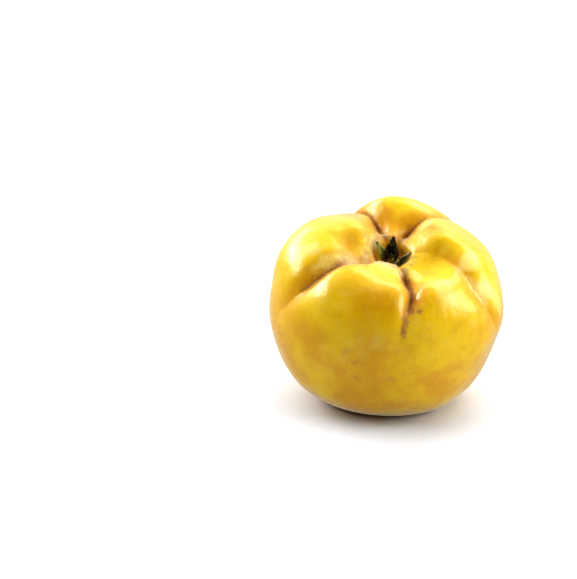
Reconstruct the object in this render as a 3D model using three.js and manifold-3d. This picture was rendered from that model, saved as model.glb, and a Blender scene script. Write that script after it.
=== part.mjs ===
// An apple-shaped quince: one lobed fruit, the dried calyx in the basin at its crown and
// the stub of its stalk in the hollow underneath. Millimetres, +Z up. The origin is on
// the surface that the fruit rests on, in the middle of its bounding box.
//
// The fruit is drawn upright in a frame of its own, with its axis along Z from the stalk
// to the calyx, and is then stood on its foot with the crown leaning towards -Y.

import * as THREE from 'three';
import { mergeVertices } from 'three/addons/utils/BufferGeometryUtils.js';
import Module from 'manifold-3d';

const wasm = await Module();
wasm.setup();

// ---- driving dimensions ----

const MIDDLE_HEIGHT = 36.9; // of the fruit's own origin above the surface it rests on
const CROWN_LEAN = 19; // of the axis at the crown, towards -Y, in degrees
const CROWN_ROLL = 2; // of the axis at the crown, towards +X, in degrees
const BEND_START = -32; // height on the axis where the lean begins
const BEND_END = 12; // height on the axis where it is full
const CLEARANCE = 0.35; // between the skin and what is set in it

const FACES_ROUND = 96; // of the skin, about the axis
const FACES_ALONG = 46; // of the skin, from stalk to calyx
const CROWDING = 0.45; // how much narrower the faces beside a crease are than the average
const SHORTEST_EDGE = 0.03; // left where joined pieces meet

// Half of the outline, as radius and height on the axis: the control points of a smooth
// curve from the stalk hollow, round the belly and the shoulder, into the calyx basin.
const OUTLINE = [
  [0, -28],
  [4.5, -28.6],
  [8.5, -33.6],
  [16.5, -38.5],
  [27.8, -36.1],
  [37.2, -27.6],
  [42.9, -15.5],
  [45.3, -1],
  [44.8, 12.2],
  [41.2, 24.2],
  [33.6, 32.3],
  [24.7, 36.6],
  [16.2, 37.6],
  [9.2, 35.4],
  [7, 29.5],
  [6.6, 22],
  [0, 20.8],
];

// The creases between the lobes. A station is the way along the outline (0 at the stalk,
// 1 at the calyx), the azimuth in degrees and the depth. The banks are how far the lobes
// on the lower and the higher azimuth take to round off, and the power how sharply.
const LOBE_CREASES = [
  // front
  {
    banks: [3, 3.2],
    powers: [1.5, 1.3],
    stations: [
      [0.4, 269, 0],
      [0.5, 271, 0.4],
      [0.57, 275.5, 1],
      [0.62, 281, 5],
      [0.69, 286, 5.8],
      [0.76, 288.5, 4],
      [0.83, 290, 2.2],
      [0.92, 290, 0],
    ],
  },
  // left
  {
    banks: [5, 4],
    powers: [1.2, 1.2],
    stations: [
      [0.46, 201, 0],
      [0.53, 207, 1.8],
      [0.59, 211, 4.5],
      [0.66, 212.5, 6.5],
      [0.72, 215, 6.5],
      [0.8, 221, 4.5],
      [0.92, 226, 0],
    ],
  },
  // back left
  {
    banks: [4, 7],
    powers: [1, 1],
    stations: [
      [0.4, 116, 0],
      [0.55, 111, 4],
      [0.66, 107, 6.5],
      [0.75, 104, 7],
      [0.84, 103, 4],
      [0.92, 101, 0],
    ],
  },
  // back right
  {
    banks: [4.5, 4.5],
    powers: [1, 1],
    stations: [
      [0.4, 42, 0],
      [0.58, 46, 1.4],
      [0.67, 53, 3],
      [0.76, 62, 6.5],
      [0.85, 66, 3.5],
      [0.92, 66, 0],
    ],
  },
  // right
  {
    banks: [3.5, 2.8],
    powers: [1.1, 1.3],
    stations: [
      [0.36, 338, 0],
      [0.46, 333, 0.9],
      [0.53, 328, 1.8],
      [0.6, 326.5, 3.8],
      [0.67, 336, 2.8],
      [0.73, 347, 2.4],
      [0.8, 353, 2],
      [0.92, 355, 0],
    ],
  },
];
const BACK_LOBE_GROOVE = {
  banks: [2.4, 2.4],
  powers: [1.3, 1.3],
  stations: [
    [0.6, 97, 0],
    [0.69, 96, 1.3],
    [0.76, 95, 1.2],
    [0.83, 93, 0],
  ],
};
const CREASE_FLOOR = 0.1; // rounding of a crease's bottom, as a share of its bank
const FULL_BANK_RADIUS = 26; // radius from which the banks have their full width
const NO_BANK_RADIUS = 4; // radius below which they have only the least share of it
const LEAST_BANK = 0.3;

// Where the lobes swell or sink: way along the outline and azimuth of the middle, how
// far the skin moves outwards and upwards, and how far that reaches along and round.
const SWELLINGS = [
  { along: 0.45, azimuth: 206, out: 3, up: -0.5, reach: [20, 24] },
  { along: 0.33, azimuth: 218, out: 1.2, up: -0.5, reach: [14, 18] },
  { along: 0.27, azimuth: 308, out: 0.6, up: -0.6, reach: [12, 20] },
  { along: 0.5, azimuth: 333, out: 2.5, up: 0, reach: [18, 16] },
  { along: 0.65, azimuth: 32, out: -2.5, up: -3.2, reach: [15, 20] },
  { along: 0.67, azimuth: 133, out: -1.2, up: -3, reach: [12, 15] },
  { along: 0.6, azimuth: 120, out: -1.6, up: -2.6, reach: [12, 13] },
  { along: 0.56, azimuth: 178, out: 1.8, up: 0.2, reach: [10, 12] },
  { along: 0.76, azimuth: 82, out: 0, up: -6, reach: [11, 15] },
  { along: 0.745, azimuth: 285, out: 0, up: -7.6, reach: [11, 21] },
  { along: 0.73, azimuth: 326, out: 0, up: -4.6, reach: [9, 11] },
  { along: 0.75, azimuth: 192, out: 0.5, up: -3.4, reach: [7, 7] },
  { along: 0.79, azimuth: 158, out: -1, up: 1, reach: [5, 7] },
  { along: 0.74, azimuth: 2, out: 0, up: 1.8, reach: [9, 5] },
];

// Five low ribs round the stalk hollow.
const STALK_RIBS = { count: 5, height: 0.5, along: 0.13, reach: 0.05, azimuth: 20 };

// The calyx: a cushion on the floor of the basin, five sepals rooted in it, and the dry
// stamens between them. A sepal has its root at a radius, leans outwards there, curls
// further to its tip, and is twisted about its midrib.
const CUSHION = { from: 0.962, steps: 8, faces: 20 };
const CUSHION_TOP = [
  [2.6, 23.8],
  [1.56, 24.1],
  [0, 23.9],
];
const SEPALS = [
  { azimuth: 75, root: 2.4, length: 10.6, width: 5.5, lean: 4, curl: -10, twist: 0 },
  { azimuth: 158, root: 2.7, length: 8.4, width: 3.6, lean: 19, curl: 12, twist: -25 },
  { azimuth: -18, root: 3.9, length: 7.8, width: 2.8, lean: 40, curl: -20, twist: 50 },
  { azimuth: 275, root: 2.2, length: 4.5, width: 2.4, lean: -4, curl: 4, twist: 0 },
  { azimuth: 315, root: 3.2, length: 4.5, width: 2.7, lean: 24, curl: -14, twist: 15 },
];
const SEPAL = { rootHeight: 22.6, thick: 0.95, tipThick: 0.6, cup: 0.8 };
const SEPAL_OUTLINE = { root: 0.85, belly: 0.7, taper: 0.35, power: 1.5, tip: 0.25 };
const SEPAL_FACES = { across: 6, along: 12, midrib: 24 };
const STAMENS = { count: 9, ring: 1.35, rootHeight: 23.3, thick: 0.75, tipThick: 0.525 };
const STAMEN_DRAWS = {
  seed: 11,
  length: [5, 1.1],
  bow: [0, 0.5],
  splay: [10.5, 9],
  turn: [0, 9],
};

// The stub of stalk: radius and height under the roof of the hollow, from the scar where
// it broke off, up to its root.
const STALK = { lean: 9, sunk: 0.25, faces: 20 };
const STALK_OUTLINE = [
  [0, -6.3],
  [1.7, -6.6],
  [3.1, -6.1],
  [2.98, -5.3],
  [2.4, -3.63],
  [2.3, -1.65],
  [2.16, -0.35],
  [1.44, -0.1],
  [0, 0],
];

const COLOURS = {
  skin: { color: 0xd9a70f, roughness: 0.42, metalness: 0 },
  calyx: { color: 0x3a3f22, roughness: 0.85, metalness: 0 },
  stalk: { color: 0x5a4128, roughness: 0.9, metalness: 0 },
};

// ---- small helpers ----

const radians = THREE.MathUtils.degToRad;
const smoothstep = THREE.MathUtils.smoothstep;
const turned = (angle) => THREE.MathUtils.euclideanModulo(angle, 360);
const wrapped = (angle) => turned(angle + 180) - 180;

// A point and its tangent on the uniform cubic B-spline of a list of radii and heights.
// The list is mirrored in the axis past both ends, so the surface closes on it smoothly.
function onCurve(points, along) {
  const last = points.length - 1;
  const place = THREE.MathUtils.clamp(along, 0, 1) * last;
  const first = Math.min(Math.floor(place), last - 1);
  const t = place - first;
  const weights = [
    (1 - t) ** 3 / 6,
    (3 * t ** 3 - 6 * t ** 2 + 4) / 6,
    (-3 * t ** 3 + 3 * t ** 2 + 3 * t + 1) / 6,
    t ** 3 / 6,
  ];
  const slopes = [
    -((1 - t) ** 2) / 2,
    (3 * t ** 2 - 4 * t) / 2,
    (-3 * t ** 2 + 2 * t + 1) / 2,
    t ** 2 / 2,
  ];
  const point = new THREE.Vector2();
  const tangent = new THREE.Vector2();
  for (let k = 0; k < 4; k += 1) {
    const index = first + k - 1;
    const inside = index < 0 ? 1 : index > last ? last - 1 : index;
    const side = index === inside ? 1 : -1;
    const control = new THREE.Vector2(side * points[inside][0], points[inside][1]);
    point.addScaledVector(control, weights[k]);
    tangent.addScaledVector(control, slopes[k]);
  }
  return { point, tangent: tangent.normalize() };
}

// The azimuth and depth of a crease, by a smooth curve through its stations.
function onCrease(stations, along) {
  const last = stations.length - 1;
  const place = THREE.MathUtils.clamp(along, stations[0][0], stations[last][0]);
  let k = 0;
  while (k < last - 1 && place >= stations[k + 1][0]) k += 1;
  const span = stations[k + 1][0] - stations[k][0];
  const t = (place - stations[k][0]) / span;
  const slope = (index, value) => {
    if (index === 0 || index === last) return 0;
    const [before, after] = [stations[index - 1], stations[index + 1]];
    return (after[value] - before[value]) / (after[0] - before[0]);
  };
  const between = (value) =>
    (1 + 2 * t) * (1 - t) ** 2 * stations[k][value] +
    t * (1 - t) ** 2 * span * slope(k, value) +
    t * t * (3 - 2 * t) * stations[k + 1][value] +
    t * t * (t - 1) * span * slope(k + 1, value);
  return { azimuth: between(1), depth: between(2) };
}

// ---- the fruit's skin ----

const creases = [...LOBE_CREASES, BACK_LOBE_GROOVE];
const swellingMiddles = SWELLINGS.map(({ along }) => onCurve(OUTLINE, along).point);

function creaseDepth(along, azimuth, radius) {
  const share = LEAST_BANK + (1 - LEAST_BANK) * smoothstep(radius, NO_BANK_RADIUS, FULL_BANK_RADIUS);
  let depth = 0;
  for (const crease of creases) {
    const at = onCrease(crease.stations, along);
    const arc = radians(wrapped(azimuth - at.azimuth)) * Math.max(radius, 2);
    const side = arc < 0 ? 0 : 1;
    const across = Math.hypot(arc / (share * crease.banks[side]), CREASE_FLOOR);
    depth += at.depth * Math.exp(-(across ** crease.powers[side]));
  }
  return depth;
}

// The skin's meridians bend to follow the lobes' creases, so that a row of edges runs
// along the bottom of each, and they crowd towards them. An even meridian otherwise keeps
// its share of the way between two creases.
const followed = LOBE_CREASES.map(({ stations }) => {
  const total = stations.reduce((sum, station) => sum + station[1], 0);
  const step = 360 / FACES_ROUND;
  return { stations, even: step * Math.round(total / stations.length / step) };
}).sort((a, b) => a.even - b.even);

function meridian(even, along) {
  const past = (crease) => turned(even - crease.even);
  const here = followed.reduce((near, crease) => (past(crease) < past(near) ? crease : near));
  const next = followed[(followed.indexOf(here) + 1) % followed.length];
  const from = onCrease(here.stations, along).azimuth;
  const to = onCrease(next.stations, along).azimuth;
  const share = past(here) / turned(next.even - here.even);
  const crowded = share - (CROWDING * Math.sin(2 * Math.PI * share)) / (2 * Math.PI);
  return from + turned(to - from) * crowded;
}

// A point of the skin in the fruit's own frame.
function onSkin(along, azimuth) {
  const { point, tangent } = onCurve(OUTLINE, along);
  const depth = creaseDepth(along, azimuth, point.x);
  let radius = point.x - tangent.y * depth;
  let height = point.y + tangent.x * depth;
  const offAxis = smoothstep(point.x, 0, NO_BANK_RADIUS);
  SWELLINGS.forEach((swelling, k) => {
    const arc = radians(wrapped(azimuth - swelling.azimuth)) * point.x;
    const far = point.distanceTo(swellingMiddles[k]);
    const share = Math.exp(-((far / swelling.reach[0]) ** 2) - (arc / swelling.reach[1]) ** 2);
    radius += swelling.out * share * offAxis;
    height += swelling.up * share;
  });
  const rib = Math.cos(radians(STALK_RIBS.count * (azimuth - STALK_RIBS.azimuth)));
  const ribShare = Math.exp(-(((along - STALK_RIBS.along) / STALK_RIBS.reach) ** 2));
  height += STALK_RIBS.height * rib * ribShare * smoothstep(along, 0, 0.08);
  radius = Math.max(radius, 0);
  const angle = radians(azimuth);
  return new THREE.Vector3(radius * Math.cos(angle), radius * Math.sin(angle), height);
}

// From the fruit's own frame to where it stands: the axis is upright at the foot and
// leans more and more towards the crown.
function stand(point) {
  const bend = smoothstep(point.z, BEND_START, BEND_END);
  point.applyAxisAngle(new THREE.Vector3(1, 0, 0), radians(CROWN_LEAN * bend));
  point.applyAxisAngle(new THREE.Vector3(0, 1, 0), radians(CROWN_ROLL * bend));
  point.z += MIDDLE_HEIGHT;
  return point;
}

// Moves every vertex of a geometry, which is then a closed mesh with shared vertices.
function reshaped(geometry, move) {
  const { position, uv } = geometry.attributes;
  for (let i = 0; i < position.count; i += 1) {
    const before = new THREE.Vector3().fromBufferAttribute(position, i);
    const after = move(before, uv.getX(i), uv.getY(i));
    position.setXYZ(i, after.x, after.y, after.z);
  }
  geometry.deleteAttribute('normal');
  geometry.deleteAttribute('uv');
  return mergeVertices(geometry);
}

// The skin is a ball whose rings and meridians are moved onto the fruit. What would sink
// below the resting surface is flattened onto it: the foot's flat ring.
function skinGeometry() {
  const ball = new THREE.SphereGeometry(1, FACES_ROUND, FACES_ALONG);
  return reshaped(ball, (_, round, along) => {
    const point = stand(onSkin(along, meridian(360 * round, along)));
    point.z = Math.max(point.z, 0);
    return point;
  });
}

// ---- the calyx ----

// The cushion's underside follows the floor of the basin, the clearance above it.
function cushionGeometry() {
  const profile = [];
  for (let i = 0; i <= CUSHION.steps; i += 1) {
    const along = THREE.MathUtils.lerp(1, CUSHION.from, i / CUSHION.steps);
    const { point, tangent } = onCurve(OUTLINE, along);
    point.addScaledVector(new THREE.Vector2(tangent.y, -tangent.x), CLEARANCE);
    profile.push(new THREE.Vector2(i === 0 ? 0 : point.x, point.y));
  }
  profile.push(...outlinePoints(CUSHION_TOP));
  return upright(new THREE.LatheGeometry(profile, CUSHION.faces));
}

const outlinePoints = (outline) => outline.map(([x, y]) => new THREE.Vector2(x, y));

// A lathe turns about Y: this stands its axis up.
function upright(lathe) {
  lathe.rotateX(Math.PI / 2);
  return lathe;
}

// A sepal is a thin blade, widest below its middle, cupped round the basin's axis.
function sepalGeometry(sepal) {
  const blade = new THREE.BoxGeometry(1, 1, 1, SEPAL_FACES.across, 1, SEPAL_FACES.along);
  return reshaped(blade, (vertex) => {
    const along = vertex.z + 0.5;
    const half = (sepal.width / 2) * bladeWidth(along);
    const thick = THREE.MathUtils.lerp(SEPAL.thick, SEPAL.tipThick, along);
    const { radius, height, tilt } = onMidrib(along, sepal);
    const cupped = vertex.y * thick + SEPAL.cup * (2 * vertex.x) ** 2 * bladeWidth(along);
    const section = new THREE.Vector2(2 * vertex.x * half, cupped);
    section.rotateAround(new THREE.Vector2(), radians(sepal.twist));
    const { x: across, y: inwards } = section;
    const point = new THREE.Vector3(
      radius - inwards * Math.cos(tilt),
      across,
      height + inwards * Math.sin(tilt),
    );
    return point.applyAxisAngle(new THREE.Vector3(0, 0, 1), radians(sepal.azimuth));
  });
}

function bladeWidth(along) {
  const { root, belly, taper, power, tip } = SEPAL_OUTLINE;
  const swell = Math.sin(Math.PI * Math.min(along / belly, 1));
  const past = THREE.MathUtils.clamp((along - taper) / (1 - taper), 0, 1);
  return (root + (1 - root) * swell) * (tip + (1 - tip) * Math.sqrt(1 - past ** power));
}

// The midrib is followed in short steps, because its lean changes all the way.
function onMidrib(along, { root, length, lean, curl }) {
  const step = along / SEPAL_FACES.midrib;
  let radius = root;
  let height = SEPAL.rootHeight;
  for (let i = 0; i < SEPAL_FACES.midrib; i += 1) {
    const tilt = radians(lean + curl * step * (i + 0.5));
    radius += Math.sin(tilt) * length * step;
    height += Math.cos(tilt) * length * step;
  }
  return { radius, height, tilt: radians(lean + curl * along) };
}

// Repeatable draws, each from a middle value and the most it departs from it.
function drawer(seed) {
  const [factor, prime] = [16807, 2147483647];
  let state = seed;
  return ([middle, spread]) => {
    state = (state * factor) % prime;
    return middle + spread * ((2 * state) / prime - 1);
  };
}

// The stamens are dry threads in a loose ring, rooted in the cushion.
function stamenGeometries() {
  const { count, ring, rootHeight, thick, tipThick } = STAMENS;
  const draw = drawer(STAMEN_DRAWS.seed);
  return Array.from({ length: count }, (_, k) => {
    const long = draw(STAMEN_DRAWS.length);
    const thread = new THREE.CylinderGeometry(tipThick / 2, thick / 2, long, 6, 3);
    thread.translate(0, long / 2, 0);
    const bow = draw(STAMEN_DRAWS.bow);
    const bowed = reshaped(upright(thread), (vertex) => {
      vertex.x += bow * (vertex.z / long) ** 2;
      return vertex;
    });
    bowed.rotateY(radians(draw(STAMEN_DRAWS.splay)));
    bowed.translate(ring, 0, rootHeight);
    bowed.rotateZ(radians((360 * k) / count + draw(STAMEN_DRAWS.turn)));
    return bowed;
  });
}

// ---- joining ----

function toSolid(geometry) {
  const bare = geometry.clone();
  bare.deleteAttribute('normal');
  bare.deleteAttribute('uv');
  const merged = mergeVertices(bare);
  return new wasm.Manifold(
    new wasm.Mesh({
      numProp: 3,
      vertProperties: Float32Array.from(merged.attributes.position.array),
      triVerts: Uint32Array.from(merged.index.array),
    }),
  );
}

function toGeometry(solid) {
  const mesh = solid.getMesh();
  const geometry = new THREE.BufferGeometry();
  geometry.setAttribute('position', new THREE.BufferAttribute(mesh.vertProperties, 3));
  geometry.setIndex(new THREE.BufferAttribute(mesh.triVerts, 1));
  return geometry;
}

function stoodUp(geometry) {
  const { position } = geometry.attributes;
  for (let i = 0; i < position.count; i += 1) {
    const point = stand(new THREE.Vector3().fromBufferAttribute(position, i));
    position.setXYZ(i, point.x, point.y, point.z);
  }
  return geometry;
}

function calyxGeometry() {
  const pieces = [cushionGeometry(), ...SEPALS.map(sepalGeometry), ...stamenGeometries()];
  const joined = pieces.map(toSolid).reduce((whole, piece) => whole.add(piece));
  return stoodUp(toGeometry(joined.asOriginal().simplify(SHORTEST_EDGE)));
}

// ---- the stalk ----

// The stub leaves the roof of the hollow and widens to the scar where it broke off.
function stalkGeometry() {
  const roof = onCurve(OUTLINE, 0).point.y - CLEARANCE;
  const stub = upright(new THREE.LatheGeometry(outlinePoints(STALK_OUTLINE), STALK.faces));
  const knobbly = reshaped(stub, (vertex) => {
    const angle = Math.atan2(vertex.y, vertex.x);
    const bump = 1 + 0.07 * Math.cos(3 * angle + 0.5 * vertex.z) + 0.04 * Math.sin(5 * angle);
    vertex.x *= bump;
    vertex.y *= bump;
    return vertex;
  });
  knobbly.rotateX(radians(STALK.lean));
  knobbly.translate(0, 0, roof - STALK.sunk);
  return stoodUp(toGeometry(toSolid(knobbly)));
}

// ---- the whole fruit ----

function piece(name, geometry, finish) {
  const mesh = new THREE.Mesh(geometry, new THREE.MeshStandardMaterial(finish));
  mesh.name = name;
  return mesh;
}

const quince = new THREE.Group();
quince.name = 'quince';
quince.add(piece('quince_body', skinGeometry(), COLOURS.skin));
quince.add(piece('calyx', calyxGeometry(), COLOURS.calyx));
quince.add(piece('stalk_stub', stalkGeometry(), COLOURS.stalk));

const middle = new THREE.Box3().setFromObject(quince).getCenter(new THREE.Vector3());
quince.position.set(-middle.x, -middle.y, 0);

export default quince;
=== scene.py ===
"""A ripe apple-shaped quince: its waxy lobed skin, the down left in its creases, the dried
calyx in the basin at its crown and the stub of its stalk in the hollow underneath.

The fruit is drawn upright in a frame of its own, in millimetres, with its axis along Z from
the stalk to the calyx. It is then stood on its foot with the crown leaning towards -Y, and
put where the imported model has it, in metres.
"""

import math

import bpy
import numpy as np
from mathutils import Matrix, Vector, noise


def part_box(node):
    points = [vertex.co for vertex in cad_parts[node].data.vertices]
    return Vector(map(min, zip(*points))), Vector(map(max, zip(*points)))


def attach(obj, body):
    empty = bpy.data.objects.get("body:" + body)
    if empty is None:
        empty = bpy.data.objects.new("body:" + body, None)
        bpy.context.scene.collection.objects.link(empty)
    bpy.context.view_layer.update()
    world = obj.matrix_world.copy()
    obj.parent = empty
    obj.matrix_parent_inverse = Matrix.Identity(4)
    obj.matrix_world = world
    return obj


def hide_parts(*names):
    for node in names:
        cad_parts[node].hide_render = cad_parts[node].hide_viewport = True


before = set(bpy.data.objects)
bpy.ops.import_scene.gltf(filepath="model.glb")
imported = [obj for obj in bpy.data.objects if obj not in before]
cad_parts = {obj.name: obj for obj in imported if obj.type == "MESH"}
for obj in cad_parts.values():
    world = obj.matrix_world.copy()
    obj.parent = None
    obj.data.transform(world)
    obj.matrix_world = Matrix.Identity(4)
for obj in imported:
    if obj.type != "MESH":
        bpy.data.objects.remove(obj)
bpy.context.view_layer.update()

bl_info = {
    "name": "Quince",
    "version": (1, 0, 0),
    "blender": (4, 5, 0),
    "location": "View3D > Sidebar > Quince",
    "description": "A ripe quince with its calyx, its stalk stub and the down in its creases",
    "category": "Add Mesh",
}

MM = 0.001
MERGE_DISTANCE = 1e-4  # on a ball of radius 1

# ---- the fruit's form, in millimetres and degrees ----

MIDDLE_HEIGHT = 36.9  # of the fruit's own origin above the surface it rests on
CROWN_LEAN = 19  # of the axis at the crown, towards -Y
CROWN_ROLL = 2  # of the axis at the crown, towards +X
BEND_START = -32  # height on the axis where the lean begins
BEND_END = 12  # height on the axis where it is full

# Half of the outline, as radius and height on the axis: the control points of a smooth
# curve from the stalk hollow, round the belly and the shoulder, into the calyx basin.
OUTLINE = (
    (0, -28), (4.5, -28.6), (8.5, -33.6), (16.5, -38.5), (27.8, -36.1), (37.2, -27.6),
    (42.9, -15.5), (45.3, -1), (44.8, 12.2), (41.2, 24.2), (33.6, 32.3), (24.7, 36.6),
    (16.2, 37.6), (9.2, 35.4), (7, 29.5), (6.6, 22), (0, 20.8),
)

# The creases between the lobes, in turn about the axis. A station is the way along the
# outline (0 at the stalk, 1 at the calyx), the azimuth and the depth. The banks are how
# far the lobes on the lower and the higher azimuth take to round off, and the powers how
# sharply. The down is how thickly the crease is lined with it, and the cork how brown its
# bottom is.
LOBE_CREASES = {
    "right": {
        "banks": (5, 4), "powers": (1.2, 1.3), "down": 0.35, "cork": 0.15,
        "stations": (
            (0.36, 338, 0), (0.46, 333, 0.9), (0.53, 328, 1.7), (0.6, 326.5, 3),
            (0.67, 336, 2), (0.73, 347, 1.1), (0.8, 353, 0.8), (0.92, 355, 0),
        ),
    },
    "back right": {
        "banks": (4.5, 4.5), "powers": (1, 1), "down": 0.6, "cork": 0.6,
        "stations": (
            (0.4, 42, 0), (0.58, 46, 1.4), (0.67, 53, 3), (0.76, 62, 6.5), (0.85, 66, 3.5),
            (0.92, 66, 0),
        ),
    },
    "back left": {
        "banks": (4, 7), "powers": (1, 1), "down": 0.7, "cork": 0.8,
        "stations": (
            (0.4, 116, 0), (0.55, 111, 4), (0.66, 107, 6.5), (0.75, 104, 7), (0.84, 103, 4),
            (0.92, 101, 0),
        ),
    },
    "left": {
        "banks": (5, 4), "powers": (1.2, 1.2), "down": 1, "cork": 0.6,
        "stations": (
            (0.46, 201, 0), (0.53, 207, 1.8), (0.59, 211, 4.5), (0.66, 212.5, 6.5),
            (0.72, 215, 6.5), (0.8, 221, 4.5), (0.92, 226, 0),
        ),
    },
    "front": {
        "banks": (3, 3.2), "powers": (1.5, 1.3), "down": 1, "cork": 1,
        "stations": (
            (0.4, 269, 0), (0.5, 271, 0.4), (0.57, 275.5, 1), (0.62, 281, 5),
            (0.69, 286, 5.8), (0.76, 288.5, 4), (0.83, 290, 2.2), (0.92, 290, 0),
        ),
    },
}
BACK_LOBE_GROOVE = {
    "banks": (2.4, 2.4), "powers": (1.3, 1.3),
    "stations": ((0.6, 97, 0), (0.69, 96, 0.6), (0.76, 95, 0.4), (0.83, 93, 0)),
}
CREASE_FLOOR = 0.1  # rounding of a crease's bottom, as a share of its bank
FULL_BANK_RADIUS = 26  # radius from which the banks have their full width
NO_BANK_RADIUS = 4  # radius below which they have only the least share of it
LEAST_BANK = 0.3

# Where the lobes swell or sink: way along the outline and azimuth of the middle, how far
# the skin moves outwards and upwards, and how far that reaches along and round.
SWELLINGS = (
    (0.45, 206, 3, -0.5, (20, 24)), (0.33, 218, 1.2, -0.5, (14, 18)),
    (0.27, 308, 0.6, -0.6, (12, 20)), (0.5, 333, 2.5, 0, (18, 16)),
    (0.65, 32, -2.5, -3.2, (15, 20)), (0.67, 133, -1.2, -3, (12, 15)),
    (0.6, 120, -1.6, -2.6, (12, 13)), (0.56, 178, 1.8, 0.2, (10, 12)),
    (0.76, 82, 0, -6, (11, 15)), (0.745, 285, 0, -7.6, (11, 21)),
    (0.725, 326, 0, -4.4, (11, 12)), (0.75, 192, 0.5, -3.4, (7, 7)),
    (0.79, 158, -1, 1, (5, 7)), (0.74, 2, 0, 1.8, (9, 5)),
)
STALK_RIBS = {"count": 5, "height": 0.5, "along": 0.13, "reach": 0.05, "azimuth": 20}

# The sepals: azimuth, radius of the root, length, width, lean at the root, curl to the tip
# and twist.
SEPALS = {
    "back": (75, 2.4, 10.6, 5.5, 4, -10, 0),
    "left": (158, 2.7, 8.4, 3.6, 19, 12, -25),
    "right": (-18, 3.9, 7.8, 2.8, 40, -20, 50),
    "front_left": (275, 2.2, 4.5, 2.4, -4, 4, 0),
    "front_right": (315, 3.2, 4.5, 2.7, 24, -14, 15),
}
SEPAL_ROOT_HEIGHT = 22.6  # on the axis
SEPAL_CUP = 0.8  # how far its edges stand inwards
SEPAL_OUTLINE = {"root": 0.85, "belly": 0.7, "taper": 0.3, "power": 1.5, "tip": 0.05}
SEPAL_SHARPNESS = 0.85  # from 0.5, where the tips are round, to 1, where they are pointed
SEPAL_FACES = (18, 44)  # across and along

STAMENS = {"count": 16, "ring": 1.5, "root": 23.3, "thick": (0.6, 0.42), "anther": 0.62}
STAMEN_DRAWS = {"seed": 11, "length": (3.9, 6), "bow": 0.6, "splay": (2, 19), "turn": 9}

# The cushion that they grow from: its top as radius and height on the axis, and where its
# underside meets the basin's wall.
CUSHION_TOP = ((2.6, 23.8), (1.56, 24.1), (0, 23.9))
CUSHION_START = 0.962
CLEARANCE = 0.35

# The stub of the stalk, as radius and height under the roof of its hollow.
STALK_OUTLINE = (
    (0, -6.3), (1.7, -6.6), (3.1, -6.1), (2.98, -5.3), (2.4, -3.63), (2.3, -1.65),
    (2.16, -0.35), (1.44, -0.1), (0, 0),
)
STALK_LEAN = 9
STALK_SUNK = 0.25


# ---- the form's mathematics ----


def around(radius, turn, height):
    """Points at those distances, angles in radians and heights on the axis."""
    return np.stack([radius * np.cos(turn), radius * np.sin(turn), height], axis=1)


def smoothstep(value, low, high):
    t = np.clip((np.asarray(value, float) - low) / (high - low), 0, 1)
    return t * t * (3 - 2 * t)


def wrapped(angle):
    return np.mod(angle + 180, 360) - 180


def on_curve(points, along):
    """Points and unit tangents of the uniform cubic B-spline of a list of radii and
    heights, mirrored in the axis past both ends."""
    controls = np.array(points, float)
    controls = np.vstack([controls[1] * (-1, 1), controls, controls[-2] * (-1, 1)])
    last = len(points) - 1
    place = np.clip(along, 0, 1) * last
    first = np.minimum(place.astype(int), last - 1)
    t = (place - first)[:, None]
    weights = (
        (1 - t) ** 3 / 6,
        (3 * t**3 - 6 * t**2 + 4) / 6,
        (-3 * t**3 + 3 * t**2 + 3 * t + 1) / 6,
        t**3 / 6,
    )
    slopes = (
        -((1 - t) ** 2) / 2,
        (3 * t**2 - 4 * t) / 2,
        (-3 * t**2 + 2 * t + 1) / 2,
        t**2 / 2,
    )
    point = sum(weight * controls[first + k] for k, weight in enumerate(weights))
    tangent = sum(slope * controls[first + k] for k, slope in enumerate(slopes))
    return point, tangent / np.linalg.norm(tangent, axis=1)[:, None]


def on_path(stations, along, value):
    """The azimuth (value 1) or depth (value 2) of a crease, by a smooth curve through its
    stations."""
    table = np.array(stations, float)
    places, values = table[:, 0], table[:, value]
    slopes = np.zeros(len(places))
    slopes[1:-1] = (values[2:] - values[:-2]) / (places[2:] - places[:-2])
    place = np.clip(along, places[0], places[-1])
    k = np.clip(np.searchsorted(places, place, side="right") - 1, 0, len(places) - 2)
    span = places[k + 1] - places[k]
    t = (place - places[k]) / span
    return (
        (1 + 2 * t) * (1 - t) ** 2 * values[k]
        + t * (1 - t) ** 2 * span * slopes[k]
        + t * t * (3 - 2 * t) * values[k + 1]
        + t * t * (t - 1) * span * slopes[k + 1]
    )


def arc_from(azimuth, middle, radius):
    return np.radians(wrapped(azimuth - middle)) * np.maximum(radius, 2)


def crease_depth(along, azimuth, radius):
    share = LEAST_BANK + (1 - LEAST_BANK) * smoothstep(radius, NO_BANK_RADIUS, FULL_BANK_RADIUS)
    depth = np.zeros(len(along))
    for crease in (*LOBE_CREASES.values(), BACK_LOBE_GROOVE):
        arc = arc_from(azimuth, on_path(crease["stations"], along, 1), radius)
        bank = share * np.where(arc < 0, *crease["banks"])
        fall = np.hypot(arc / bank, CREASE_FLOOR) ** np.where(arc < 0, *crease["powers"])
        depth += on_path(crease["stations"], along, 2) * np.exp(-fall)
    return depth


def spot_share(point, azimuth, place, middle, far_along, far_round):
    """How near each point is to a place on the skin, by how far that reaches."""
    centre = on_curve(OUTLINE, np.array([place]))[0]
    far = np.linalg.norm(point - centre, axis=1) / far_along
    arc = np.radians(wrapped(azimuth - middle)) * point[:, 0] / far_round
    return np.exp(-far * far - arc * arc)


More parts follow.
